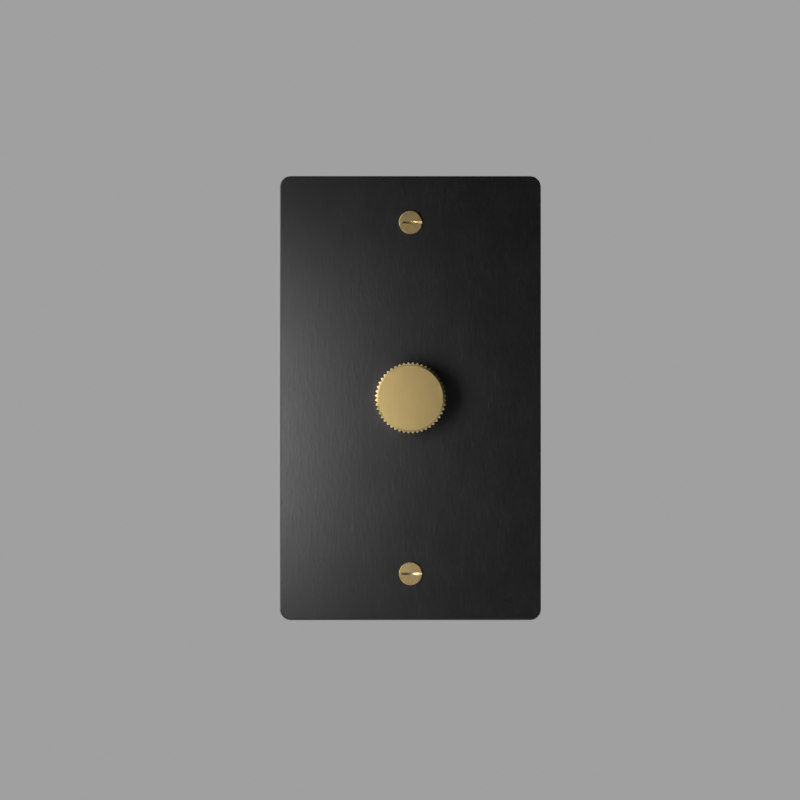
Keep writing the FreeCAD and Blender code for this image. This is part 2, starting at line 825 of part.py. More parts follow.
def make_triac_nut():
    """Hexagon nut behind the tab."""
    nut = hexagon(triac_nut_width, tab_back, tab_back + triac_nut_thickness)
    hole = rod(triac_screw_diameter / 2 + fixed_clearance, tab_back, tab_back + triac_nut_thickness)
    return moved(turned_to(nut.cut(hole), INWARD, 30), 0.0, 0.0, triac_hole_z)


def make_choke_core():
    """Ring core of pressed iron powder."""
    return ring(core_outer_radius, core_inner_radius, core_front, core_back, 0.0, choke_z)


def make_choke_winding():
    """One close layer of wire round the core, with two ends to the board."""
    skin = fixed_clearance
    outer = ring(winding_radius, core_inner_radius - winding_thickness, core_front - winding_thickness,
                 core_back + winding_thickness)
    inner = ring(core_outer_radius + skin, core_inner_radius - skin, core_front - skin, core_back + skin)
    bared = wedge(winding_radius, core_front - winding_thickness, core_back + winding_thickness,
                  90.0, (360.0 - winding_angle) / 2)
    layer = moved(outer.cut(inner).cut(bared), 0.0, 0.0, choke_z)
    ends = [rod(lead_radius, core_back + winding_thickness / 2, pin_end, x, z) for x, z in lead_places()[:2]]
    return joined([layer] + ends)


def boxed_capacitor(x, z, width, length, height, spacing):
    """Potted box capacitor standing on the board with two leads."""
    front = board_front - height
    body = rounded_slab(width, length, capacitor_edge_radius, front, board_front, x, z)
    leads = [rod(lead_radius, board_front - air_gap, pin_end, x, z + sz * spacing / 2) for sz in (-1, 1)]
    return joined([body] + leads)


def axial_piece(x, z, radius, length):
    """Round component lying on the board with two bent leads."""
    y = board_front - radius - air_gap
    body = Part.makeCylinder(radius, length, point(x, y, z - length / 2), UP)
    pieces = [body]
    for side in (-1, 1):
        end = z + side * (length / 2 + axial_lead_reach)
        run = Part.makeCylinder(lead_radius, axial_lead_reach, point(x, y, z + side * length / 2), UP * side)
        pieces.append(run)
        pieces.append(Part.makeSphere(lead_radius, point(x, y, end)))
        pieces.append(rod(lead_radius, y, pin_end, x, end))
    return joined(pieces)


def make_housing():
    """Moulded rear housing: corner bosses, board ledges, terminal bays and the strip gauge groove."""
    body = rounded_slab(housing_width, housing_height, housing_corner_radius, strap_back, housing_back)
    rear_edges = [edge for edge in body.Edges if abs(edge.BoundBox.YMin - housing_back) < fixed_clearance]
    body = body.makeFillet(housing_rear_radius, rear_edges)
    inner_radius = max(housing_corner_radius - housing_wall, capacitor_edge_radius)
    room = rounded_slab(2 * inner_half_width, 2 * inner_half_height, inner_radius, strap_back, housing_floor)
    kept = [rod(housing_boss_radius, strap_back, housing_floor, x, z) for x, z in boss_places]
    for side in (-1, 1):
        outer = side * inner_half_height
        inner = outer - side * ledge_depth
        kept.append(block(-ledge_width / 2, ledge_width / 2, board_back, housing_floor,
                          min(inner, outer), max(inner, outer)))
    cuts = []
    for side, z in terminal_places.values():
        wide = bay_width / 2 + bay_wall
        outer = side * housing_width / 2
        inner = side * (bay_floor_x - bay_wall)
        kept.append(block(min(inner, outer), max(inner, outer), bay_front - bay_wall, housing_back,
                          z - wide, z + wide))
        floor = side * bay_floor_x
        cuts.append(block(min(floor, outer), max(floor, outer), bay_front, housing_back,
                          z - bay_width / 2, z + bay_width / 2))
        middle = side * (bay_floor_x + terminal_plate_thickness / 2)
        cuts.append(slab(terminal_plate_thickness + 2 * fixed_clearance,
                         terminal_tongue_width + 2 * fixed_clearance, bay_front - bay_wall, bay_front,
                         middle, z))
        cuts.append(Part.makeCylinder(terminal_screw_diameter / 2 + 2 * screw_clearance, bay_wall,
                                      point(floor, terminal_y, z), -RIGHT * side))
    for x, z in boss_places:
        cuts.append(rod(housing_screw_diameter / 2 + fixed_clearance, strap_back,
                        strap_front + housing_screw_length + component_gap, x, z))
    cuts.append(rounded_slab(strip_gauge_width, strip_gauge_length, strip_gauge_width / 2,
                             housing_back - strip_gauge_depth, housing_back))
    return without(body.cut(without(room, kept)), cuts)


def make_housing_screws():
    """Four screws from the strap into the housing bosses."""
    screw = slotted_screw(housing_screw_diameter, housing_screw_length, housing_screw_head_diameter,
                          housing_screw_head_height, pan_bevel, pan_slot_width, pan_slot_depth)
    return Part.makeCompound([moved(screw, x, strap_front, z) for x, z in boss_places])


def make_terminal_plate(side, z):
    """Brass plate on the bay floor with the tongue that reaches the board."""
    inner = side * bay_floor_x
    outer = side * terminal_outer_x
    plate = block(min(inner, outer), max(inner, outer), bay_front, housing_back - air_gap,
                  z - terminal_plate_width / 2, z + terminal_plate_width / 2)
    tongue = block(min(inner, outer), max(inner, outer), board_front - pin_showing, bay_front,
                   z - terminal_tongue_width / 2, z + terminal_tongue_width / 2)
    hole = Part.makeCylinder(terminal_screw_diameter / 2 + running_clearance, terminal_plate_thickness,
                             point(inner, terminal_y, z), RIGHT * side)
    return joined([plate, tongue]).cut(hole)


def make_terminal_screws():
    """Binding screws of the three bays, backed off by the room for a wire."""
    screw = slotted_screw(terminal_screw_diameter, terminal_screw_length, terminal_screw_head_diameter,
                          terminal_screw_head_height, pan_bevel, pan_slot_width, pan_slot_depth)
    screws = []
    for side, z in terminal_places.values():
        aimed = turned_to(screw, UP, 90 * side)
        screws.append(moved(aimed, side * (terminal_outer_x + terminal_screw_wire_room), terminal_y, z))
    return Part.makeCompound(screws)


nodes = {
    "face_plate": make_face_plate(),
    "plate_screws": make_plate_screws(),
    "knob": make_knob(),
    "grub_screw": make_grub_screw(),
    "shaft": make_shaft(),
    "shaft_clip": make_shaft_clip(),
    "bush": make_bush(),
    "bush_nut": make_bush_nut(),
    "bush_washer": make_bush_washer(),
    "mounting_strap": make_strap(),
    "box_screws": make_box_screws(),
    "screw_retainers": make_screw_retainers(),
    "ground_screw": make_ground_screw(),
    "resistance_track": make_track(),
    "regulator_case": make_regulator_case(),
    "wiper_rotor": make_rotor(),
    "wiper_contact": make_wiper(),
    "switch_case": make_switch_case(),
    "switch_plunger": make_plunger(),
    "contact_bridge": make_contact_bridge(),
    "return_spring": make_return_spring(),
    "circuit_board": make_board(),
    "triac": make_triac(),
    "triac_pad": make_triac_pad(),
    "triac_screw": make_triac_screw(),
    "triac_nut": make_triac_nut(),
    "choke_core": make_choke_core(),
    "choke_winding": make_choke_winding(),
    "filter_capacitor": boxed_capacitor(filter_x, filter_z, filter_width, filter_length, filter_height,
                                        filter_lead_spacing),
    "timing_capacitor": boxed_capacitor(timing_x, timing_z, timing_width, timing_length, timing_height,
                                        timing_lead_spacing),
    "resistor": axial_piece(-axial_x, axial_z, resistor_radius, resistor_length),
    "diac": axial_piece(axial_x, axial_z, diac_radius, diac_length),
    "rear_housing": make_housing(),
    "housing_screws": make_housing_screws(),
    "terminal_screws": make_terminal_screws(),
}
for name, x in track_pin_places.items():
    nodes["track_pin_" + name] = make_track_pin(x)
for name, x in contact_places.items():
    nodes["switch_contact_" + name] = make_contact(x)
for name, (side, z) in terminal_places.items():
    nodes["terminal_plate_" + name] = make_terminal_plate(side, z)

for name, shape in nodes.items():
    shape.exportStep("parts/" + name + ".step")
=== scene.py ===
import json
import math

import bmesh
import bpy
import numpy as np
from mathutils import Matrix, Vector


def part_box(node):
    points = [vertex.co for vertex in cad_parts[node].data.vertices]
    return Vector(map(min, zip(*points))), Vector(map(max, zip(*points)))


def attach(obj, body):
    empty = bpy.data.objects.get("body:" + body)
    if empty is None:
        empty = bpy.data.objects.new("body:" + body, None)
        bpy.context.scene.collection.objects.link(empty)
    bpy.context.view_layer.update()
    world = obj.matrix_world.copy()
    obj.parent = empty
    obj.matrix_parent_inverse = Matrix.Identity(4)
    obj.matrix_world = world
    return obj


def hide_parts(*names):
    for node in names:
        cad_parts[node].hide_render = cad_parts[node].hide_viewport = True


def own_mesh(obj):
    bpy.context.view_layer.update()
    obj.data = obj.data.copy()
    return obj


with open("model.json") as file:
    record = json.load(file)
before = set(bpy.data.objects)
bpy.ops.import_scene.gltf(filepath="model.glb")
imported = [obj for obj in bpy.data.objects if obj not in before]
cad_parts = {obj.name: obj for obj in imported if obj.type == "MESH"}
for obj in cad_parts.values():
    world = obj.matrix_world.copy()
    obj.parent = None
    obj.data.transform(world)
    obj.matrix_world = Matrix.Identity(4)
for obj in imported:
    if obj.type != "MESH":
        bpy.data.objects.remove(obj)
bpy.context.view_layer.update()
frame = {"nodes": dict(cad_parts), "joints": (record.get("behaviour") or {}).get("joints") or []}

# Resistance track: a wafer of brown paper laminate, punched from sheet, with a printed carbon arc.
# Three bronze pins, tin dipped, are riveted to its tongue and soldered into the circuit board.
MM = 0.001
CARBON_RADII = (5.7 * MM, 7.3 * MM)
CARBON_EDGE = 0.1 * MM
CARBON_BLACK = (0.012, 0.012, 0.013)
LAMINATE_DARK = (0.24, 0.11, 0.045)
LAMINATE_PALE = (0.36, 0.19, 0.08)
PAPER_FIBRE = (0.5 * MM, 0.5 * MM, 2 * MM)
PAPER_RELIEF = 0.02 * MM
METAL_CLOUD = 4 * MM


def feed(tree, node, sockets):
    """Sets sockets of a node: a Tone is linked to its socket, anything else is a constant."""
    for name, value in sockets.items():
        if isinstance(value, Tone):
            tree.links.new(value.socket, node.inputs[name])
        else:
            node.inputs[name].default_value = value


class Tone:
    """A value, colour or vector on its way through a material; arithmetic on it adds Math nodes."""

    def __init__(self, tree, socket=None):
        self.tree = tree
        self.socket = socket

    def node(self, kind, settings=None, sockets=None, output=0):
        """One more node: its settings first, then its sockets. Returns one of its outputs as a Tone."""
        made = self.tree.nodes.new(kind)
        for name, value in (settings or {}).items():
            setattr(made, name, value)
        feed(self.tree, made, sockets or {})
        return Tone(self.tree, made.outputs[output])

    def math(self, operation, first, second):
        """One Math node on two values."""
        return self.node("ShaderNodeMath", {"operation": operation}, {0: first, 1: second})

    def __add__(self, other):
        return self.math("ADD", self, other)

    def __sub__(self, other):
        return self.math("SUBTRACT", self, other)

    def __rsub__(self, other):
        return self.math("SUBTRACT", other, self)

    def __mul__(self, other):
        return self.math("MULTIPLY", self, other)

    def __pow__(self, other):
        return self.math("POWER", self, other)

    __radd__ = __add__
    __rmul__ = __mul__


def axes(place):
    """The x, y and z of a position as three values."""
    split = place.node("ShaderNodeSeparateXYZ", sockets={"Vector": place}).socket.node
    return [Tone(place.tree, socket) for socket in split.outputs]


def grain(place, size, detail=2.0):
    """Noise from 0 to 1 whose blotches have a size in metres: one length, or three for x, y and z."""
    scale = (1 / np.broadcast_to(size, 3)).tolist()
    stretched = place.node("ShaderNodeVectorMath", {"operation": "MULTIPLY"}, {0: place, 1: scale})
    return place.node("ShaderNodeTexNoise", None, {"Vector": stretched, "Scale": 1.0, "Detail": detail})


def step(value, low, high):
    """Smooth rise from 0 at the low value to 1 at the high one."""
    limits = {"Value": value, "From Min": low, "From Max": high}
    return value.node("ShaderNodeMapRange", {"interpolation_type": "SMOOTHSTEP"}, limits)


def band(value, low, high, edge):
    """1 between the low and the high value and 0 outside, rising and falling over the width of an edge."""
    return step(value, low, low + edge) * (1 - step(value, high, high + edge))


def sway(middle, *patterns):
    """A middle value that patterns from 0 to 1 move up and down, each over a spread of its own."""
    for pattern, spread in patterns:
        middle = middle + (pattern - 0.5) * spread
    return middle


def blend(share, first, second):
    """First colour where the share is 0, second where it is 1.

    Inputs 6 and 7 of a Mix node are its two colours, and output 2 is their mixture."""
    colours = [tone if isinstance(tone, Tone) else (*tone, 1.0) for tone in (first, second)]
    sockets = {0: share, 6: colours[0], 7: colours[1]}
    return share.node("ShaderNodeMix", {"data_type": "RGBA"}, sockets, 2)


def relief(height, depth):
    """Surface normal of a height from 0 to 1 that stands for a depth in metres."""
    return height.node("ShaderNodeBump", None, {"Strength": 1.0, "Distance": depth, "Height": height})


def finish(name, paint):
    """Material whose shader values come from paint(place), where place is the position on the piece."""
    material = bpy.data.materials.new(name)
    material.use_nodes = True
    tree = material.node_tree
    place = Tone(tree).node("ShaderNodeTexCoord", output="Object")
    feed(tree, tree.nodes["Principled BSDF"], paint(place))
    return material


def dress(material, *nodes):
    """Puts a finish on construction nodes."""
    for name in nodes:
        for holder in frame["nodes"][name].material_slots:
            holder.material = material


def metal(bright, dull, roughness, marks, depth):
    """Bare metal: brush marks of a given size in colour, gloss and relief, and slow cloudy patches."""
    def paint(place):
        brushed = grain(place, marks)
        cloud = grain(place, METAL_CLOUD)
        return {
            "Base Color": blend(brushed * 0.6 + cloud * 0.4, dull, bright),
            "Metallic": 1.0,
            "Roughness": sway(roughness, (brushed, 0.12), (cloud, 0.1)),
            "Normal": relief(brushed, depth),
        }
    return paint


def track_paint(place):
    """Laminate with paper fibres, and a dull black ring of carbon between two radii."""
    x, _, z = axes(place)
    carbon = band((x * x + z * z) ** 0.5, *CARBON_RADII, CARBON_EDGE)
    fibre = grain(place, PAPER_FIBRE, detail=4.0)
    return {
        "Base Color": blend(carbon, blend(fibre, LAMINATE_DARK, LAMINATE_PALE), CARBON_BLACK),
        "Roughness": sway(0.5, (fibre, 0.1)) + carbon * 0.2,
        "Normal": relief(fibre, PAPER_RELIEF),
    }


pin_finish = finish("tinned_bronze", metal(
    bright=(0.80, 0.72, 0.62), dull=(0.62, 0.50, 0.38), roughness=0.3,
    marks=(0.1 * MM, 2 * MM, 0.1 * MM), depth=0.01 * MM))
dress(finish("carbon_track", track_paint), "resistance_track")
dress(pin_finish, "track_pin_left", "track_pin_middle", "track_pin_right")

# Wiper rotor: an ivory carrier injection moulded in nylon, turned by the flats of the shaft.
# The wiper is a ring of bronze strip, stamped and staked to the rotor, with one finger on the track.
FLOW_CLOUD = 6 * MM


def moulded(colour, pale, roughness, pits, depth):
    """Moulded plastic: faint flow clouds in the colour and a skin with fine pits of a given size."""
    def paint(place):
        cloud = grain(place, FLOW_CLOUD, detail=3.0)
        skin = grain(place, pits, detail=3.0)
        return {
            "Base Color": blend(cloud, colour, pale),
            "Roughness": sway(roughness, (skin, 0.2), (cloud, 0.08)),
            "Normal": relief(skin, depth),
        }
    return paint


rotor_finish = finish("ivory_nylon", moulded(
    colour=(0.56, 0.53, 0.45), pale=(0.66, 0.63, 0.55), roughness=0.42, pits=0.25 * MM, depth=0.01 * MM))
bronze_finish = finish("bronze_strip", metal(
    bright=(0.82, 0.52, 0.30), dull=(0.66, 0.38, 0.20), roughness=0.28,
    marks=(3 * MM, 0.1 * MM, 0.1 * MM), depth=0.01 * MM))
dress(rotor_finish, "wiper_rotor")
dress(bronze_finish, "wiper_contact")

# Regulator case: a cup pressed from zinc plated steel, closed over the track by bent tabs.
# The spangle of the zinc shows as soft grey patches.
zinc_finish = finish("zinc_plate", metal(
    bright=(0.66, 0.66, 0.68), dull=(0.48, 0.48, 0.50), roughness=0.34, marks=0.3 * MM, depth=0.008 * MM))
dress(zinc_finish, "regulator_case")

# Shaft and clip: the shaft is turned from steel bar and plated, with a flat milled for the knob.
# The open clip is stamped from spring steel and snaps into the groove behind the bush.
turned_finish = finish("turned_steel", metal(
    bright=(0.64, 0.64, 0.66), dull=(0.50, 0.50, 0.52), roughness=0.26,
    marks=(4 * MM, 0.12 * MM, 4 * MM), depth=0.01 * MM))
spring_finish = finish("spring_steel", metal(
    bright=(0.46, 0.46, 0.49), dull=(0.34, 0.34, 0.37), roughness=0.3, marks=0.15 * MM, depth=0.006 * MM))
dress(turned_finish, "shaft")
dress(spring_finish, "shaft_clip")

# Bush, nut and washer: turned steel, plated, with a fine thread that clamps the regulator to the strap.
# The nut is cut from hexagon bar and the washer punched from strip.
dress(turned_finish, "bush", "bush_nut", "bush_washer")

# Push switch: an ivory moulded box whose plunger lowers a bronze bridge onto two silver faced contacts.
# The plunger is moulded too and slides on the axis of the shaft.
silver_finish = finish("silver_contact", metal(
    bright=(0.86, 0.84, 0.80), dull=(0.70, 0.66, 0.60), roughness=0.24, marks=0.1 * MM, depth=0.005 * MM))
dress(rotor_finish, "switch_case", "switch_plunger")
dress(bronze_finish, "contact_bridge")
dress(silver_finish, "switch_contact_left", "switch_contact_right")

# Return spring: drawn steel wire coiled cold, open wound, held between plunger and switch floor.
# It shortens by the travel of the knob.
SPRING_WIRE = 0.4 * MM
SPRING_TURNS = 4.5
SPRING_STEPS = 260
WIRE_SIDES = 14
WELD_WIDTH = 0.0005 * MM
CRISP_ANGLE = 40.0


def joined_mesh(name, surfaces, crisp=CRISP_ANGLE):
    """One mesh from grids of points that meet along their borders.

    Equal points are merged, which closes seams and poles, faces are turned outward and edges over the
    crisp angle, in degrees, stay sharp."""
    mesh = bpy.data.meshes.new(name)
    quads = []
    start = 0
    for grid in surfaces:
        rows, columns = grid.shape[:2]
        index = start + np.arange(rows * columns).reshape(rows, columns)
        corners = (index[:-1, :-1], index[:-1, 1:], index[1:, 1:], index[1:, :-1])
        quads.append(np.stack(corners, axis=-1).reshape(-1, 4))
        start += rows * columns
    points = np.concatenate([grid.reshape(-1, 3) for grid in surfaces])
    mesh.from_pydata(points.tolist(), [], np.concatenate(quads).tolist())
    shell = bmesh.new()
    shell.from_mesh(mesh)
    bmesh.ops.remove_doubles(shell, verts=shell.verts, dist=WELD_WIDTH)
    bmesh.ops.recalc_face_normals(shell, faces=shell.faces)
    shell.to_mesh(mesh)
    shell.free()
    mesh.shade_smooth()
    mesh.set_sharp_from_angle(angle=math.radians(crisp))
    return mesh


def piece(name, surfaces, material, body, replaced, crisp=CRISP_ANGLE):
    """Closed mesh as a visible piece that rides on a body and stands for construction nodes."""
    mesh = joined_mesh(name, surfaces, crisp)
    mesh.materials.append(material)
    made = bpy.data.objects.new(name, mesh)
    bpy.context.scene.collection.objects.link(made)
    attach(made, body)
    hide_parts(*replaced)
    return made


def wire(path, across, radius, sides):
    """Round wire: at each point of the path a circle spans the across vector and its normal to the path.

    Both ends close in a pole."""
    heading = np.gradient(path, axis=0)
    heading /= np.linalg.norm(heading, axis=1, keepdims=True)
    across = across - heading * np.sum(across * heading, axis=1, keepdims=True)
    across /= np.linalg.norm(across, axis=1, keepdims=True)
    beside = np.cross(heading, across)
    turn = np.linspace(0.0, 2 * math.pi, sides + 1)[None, :, None]
    rings = path[:, None] + radius * (np.cos(turn) * across[:, None] + np.sin(turn) * beside[:, None])
    first = np.repeat(path[:1, None], sides + 1, axis=1)
    last = np.repeat(path[-1:, None], sides + 1, axis=1)
    return np.concatenate([first, rings, last])


spring_low, spring_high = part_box("return_spring")
coil_radius = (spring_high.x - spring_low.x - SPRING_WIRE) / 2
coil = np.linspace(0.0, 2 * math.pi * SPRING_TURNS, SPRING_STEPS)
outward = np.stack([np.cos(coil), np.zeros_like(coil), np.sin(coil)], axis=1)
rise = np.linspace(spring_low.y + SPRING_WIRE / 2, spring_high.y - SPRING_WIRE / 2, SPRING_STEPS)
spring_path = outward * coil_radius + np.outer(rise, (0.0, 1.0, 0.0))
coil_spring = piece("coil_spring", [wire(spring_path, outward, SPRING_WIRE / 2, WIRE_SIDES)],
                    spring_finish, "frame", ["return_spring"])
push = next(joint for joint in frame["joints"] if joint["name"] == "knob_push")
spring_length = spring_high.y - spring_low.y
(spring_length - push["range_m"][1]) / spring_length
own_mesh(coil_spring)

# Circuit board: glass laminate with a green solder mask, routed to clear the bosses of the housing.
# Copper runs show through the mask as paler bands, and the leads are soldered on the rear.
MASK_GREEN = (0.012, 0.10, 0.035)
COPPER_GREEN = (0.035, 0.22, 0.07)
COPPER_BANDS = (9 * MM, 50 * MM, 2.5 * MM)
COPPER_LEVEL = (0.52, 0.54)
GLASS_WEAVE = 0.3 * MM
BOARD_RELIEF = 0.03 * MM


def board_paint(place):
    """Green mask, paler where a wide band of copper runs beneath it, with a woven glass texture."""
    copper = step(grain(place, COPPER_BANDS, detail=0.0), *COPPER_LEVEL)
    weave = grain(place, GLASS_WEAVE, detail=1.0)
    return {
        "Base Color": blend(copper, MASK_GREEN, COPPER_GREEN),
        "Roughness": sway(0.32, (weave, 0.15)),
        "Normal": relief(copper * 0.6 + weave * 0.4, BOARD_RELIEF),
    }


dress(finish("solder_mask", board_paint), "circuit_board")

# Triac: moulded in black epoxy on a tinned copper tab that is screwed to the strap through a grey pad.
# Its three legs are bent to the board.
TAB_THICKNESS = 1.3 * MM
TAB_HEIGHT = 5.98 * MM
LEG_LENGTH = 2.25 * MM
EPOXY_EDGE = 0.05 * MM
EPOXY_BLACK = (0.012, 0.012, 0.013)
EPOXY_SKIN = 0.15 * MM
EPOXY_RELIEF = 0.01 * MM
TIN_GREY = (0.74, 0.73, 0.70)


def triac_paint(place):
    """Dull black epoxy over the body; bright tin on the tab beside and above it and on the legs below."""
    low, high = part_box("triac")
    _, y, z = axes(place)
    body = band(z, low.z + LEG_LENGTH, high.z - TAB_HEIGHT, EPOXY_EDGE)
    body = body * step(y, low.y + TAB_THICKNESS, low.y + TAB_THICKNESS + EPOXY_EDGE)
    skin = grain(place, EPOXY_SKIN)
    return {
        "Base Color": blend(body, TIN_GREY, EPOXY_BLACK),
        "Metallic": 1 - body,
        "Roughness": sway(0.3, (skin, 0.15)) + body * 0.25,
        "Normal": relief(skin, EPOXY_RELIEF),
    }


dress(finish("epoxy_and_tin", triac_paint), "triac")
dress(finish("grey_silicone", moulded(
    colour=(0.42, 0.43, 0.45), pale=(0.52, 0.53, 0.55), roughness=0.75, pits=0.12 * MM, depth=0.01 * MM)),
    "triac_pad")
dress(zinc_finish, "triac_nut")

# Choke: a ring of iron powder, pressed and varnished yellow, that quiets the hum of the lamp.
# One close layer of enamelled copper wire is wound round it by hand, and both ends go to the board.
CHOKE_WIRE = 0.3 * MM
CHOKE_BORE = 3.4 * MM
CHOKE_TURNS = 24
CHOKE_STEPS = 1200
CHOKE_ARC = math.radians(306.0)
CHOKE_SQUARENESS = 5.0
LEAD_STEPS = 12


def wound_ring(low, high, lead_end):
    """Wire path round a ring of square section: the section angle turns many times as the ring angle opens.

    The section is a superellipse, so the wire runs flat along the faces and bends at their edges. Both
    ends of the winding run straight on toward +Y as leads. Returns the path and its outward vectors."""
    ring_angle = np.linspace(-CHOKE_ARC / 2, CHOKE_ARC / 2, CHOKE_STEPS) - math.pi / 2
    winding = np.linspace(0.0, 2 * math.pi * CHOKE_TURNS, CHOKE_STEPS)
    middle = ((high.x - low.x) / 2 + CHOKE_BORE) / 2
    half_wide = ((high.x - low.x) / 2 - CHOKE_BORE) / 2 + CHOKE_WIRE
    half_deep = (high.y - low.y) / 2 + CHOKE_WIRE
    cosine = np.cos(winding)
    sine = np.sin(winding)
    bulge = np.abs(cosine) ** CHOKE_SQUARENESS + np.abs(sine) ** CHOKE_SQUARENESS
    reach = bulge ** (-1 / CHOKE_SQUARENESS)
    radius = middle + half_wide * reach * cosine
    depth = (low.y + high.y) / 2 + half_deep * reach * sine
    around = np.stack([np.cos(ring_angle), np.zeros_like(ring_angle), np.sin(ring_angle)], axis=1)
    inward = np.array([0.0, 1.0, 0.0])
    path = around * radius[:, None] + np.outer(depth, inward)
    path[:, 2] += (low.z + high.z) / 2
    outward = around * cosine[:, None] + np.outer(sine, inward)
    share = np.linspace(1.0, 0.0, LEAD_STEPS, endpoint=False)[:, None]
    first = path[0] + share * (lead_end - path[0, 1]) * inward
    last = path[-1] + share[::-1] * (lead_end - path[-1, 1]) * inward
    path = np.concatenate([first, path, last])
    edge = np.ones((LEAD_STEPS, 1))
    return path, np.concatenate([edge * around[0], outward, edge * around[-1]])


choke_path, choke_outward = wound_ring(*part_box("choke_core"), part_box("choke_winding")[1].y)
copper_finish = finish("enamelled_copper", metal(
    bright=(0.78, 0.30, 0.13), dull=(0.60, 0.20, 0.08), roughness=0.22, marks=0.2 * MM, depth=0.004 * MM))
dress(finish("varnished_iron", moulded(
    colour=(0.36, 0.30, 0.05), pale=(0.50, 0.43, 0.09), roughness=0.4, pits=0.2 * MM, depth=0.02 * MM)),
    "choke_core")
piece("wound_choke", [wire(choke_path, choke_outward, CHOKE_WIRE, WIRE_SIDES)], copper_finish, "frame",
      ["choke_winding"])

# Capacitors, resistor and diac: small parts of the dimming circuit, standing on the board by their leads.
# The capacitors are potted boxes; the resistor is lacquered with colour rings and the diac sealed in glass.
RING_WIDTH = 0.55 * MM
RING_EDGE = 0.05 * MM
RING_COLOURS = {-1.6 * MM: (0.30, 0.02, 0.02), -0.3 * MM: (0.25, 0.10, 0.30), 1.0 * MM: (0.55, 0.40, 0.03)}
LACQUER_DARK = (0.50, 0.40, 0.26)
LACQUER_PALE = (0.62, 0.52, 0.36)
LACQUER_SKIN = 0.4 * MM
LACQUER_RELIEF = 0.01 * MM
BARE_LEAD = 3.3 * MM


def resistor_paint(place):
    """Beige lacquer with three rings of colour across the length, and tinned leads past the body's ends."""
    low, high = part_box("resistor")
    middle = (low.z + high.z) / 2
    along = axes(place)[2] - middle
    skin = grain(place, LACQUER_SKIN)
    colour = blend(skin, LACQUER_DARK, LACQUER_PALE)
    for start, ring in RING_COLOURS.items():
        colour = blend(band(along, start, start + RING_WIDTH, RING_EDGE), colour, ring)
    lead = step(along * along, BARE_LEAD ** 2, (BARE_LEAD + RING_EDGE) ** 2)
    return {
        "Base Color": blend(lead, colour, TIN_GREY),
        "Metallic": lead,
        "Roughness": sway(0.28, (skin, 0.12)),
        "Normal": relief(skin, LACQUER_RELIEF),
    }


dress(finish("potted_box", moulded(
    colour=(0.50, 0.30, 0.04), pale=(0.62, 0.40, 0.07), roughness=0.3, pits=0.3 * MM, depth=0.01 * MM)),
    "filter_capacitor", "timing_capacitor")
dress(finish("ringed_lacquer", resistor_paint), "resistor")
dress(finish("blue_glass", moulded(
    colour=(0.05, 0.10, 0.30), pale=(0.09, 0.16, 0.42), roughness=0.2, pits=0.4 * MM, depth=0.005 * MM)),
    "diac")

# Rear housing: black thermoset, compression moulded, with a matt eroded skin and softened rear edges.
# Four screws from the strap hold it, and bays in its sides bare the terminals.
THERMOSET_DARK = (0.016, 0.016, 0.018)
THERMOSET_PALE = (0.032, 0.032, 0.034)
ERODED_PITS = 0.22 * MM
FLOW_MARKS = (3 * MM, 12 * MM, 8 * MM)
RUBBED_PATCHES = 7 * MM
RUBBED_LEVEL = (0.56, 0.75)
HOUSING_RELIEF = 0.035 * MM


def housing_paint(place):
    """Matt charcoal skin with fine pits, faint flow marks and paler rubbed patches."""
    pits = grain(place, ERODED_PITS, detail=3.0)
    flow = grain(place, FLOW_MARKS, detail=3.0)
    rubs = step(grain(place, RUBBED_PATCHES, detail=4.0), *RUBBED_LEVEL)
    return {
        "Base Color": blend(flow * 0.6 + rubs * 0.4, THERMOSET_DARK, THERMOSET_PALE),
        "Roughness": sway(0.5, (pits, 0.25)) - rubs * 0.08,
        "Normal": relief(pits, HOUSING_RELIEF),
    }


dress(finish("matt_thermoset", housing_paint), "rear_housing")

# Terminals: plates stamped from brass strip, each tapped for a binding screw with a slotted head.
# A wire end is clamped under the head; the screws stand backed off as they are delivered.
SLOT_SAW = 8.0 * MM
PAN_BEVEL = 0.5 * MM
PAN_SLOT = (1.0 * MM, 0.9 * MM)
SEAT_EDGE = 0.05 * MM
THREAD_DEPTH = 0.3 * MM
THREAD_START = 0.15 * MM
THREAD_SLOPE = 1.6
THREAD_ROOT = 0.3
MACHINE_PITCH = 0.8 * MM
POINT_SHARE = 0.25
HEAD_STEPS = 16
SLOT_STEPS = 5
FACE_STEPS = 41
RIM_STEPS = 4
THREAD_STEPS = 10
TERMINAL_HEIGHT = 1.9 * MM
TERMINAL_SHANK = (1.75 * MM, 6.0 * MM)


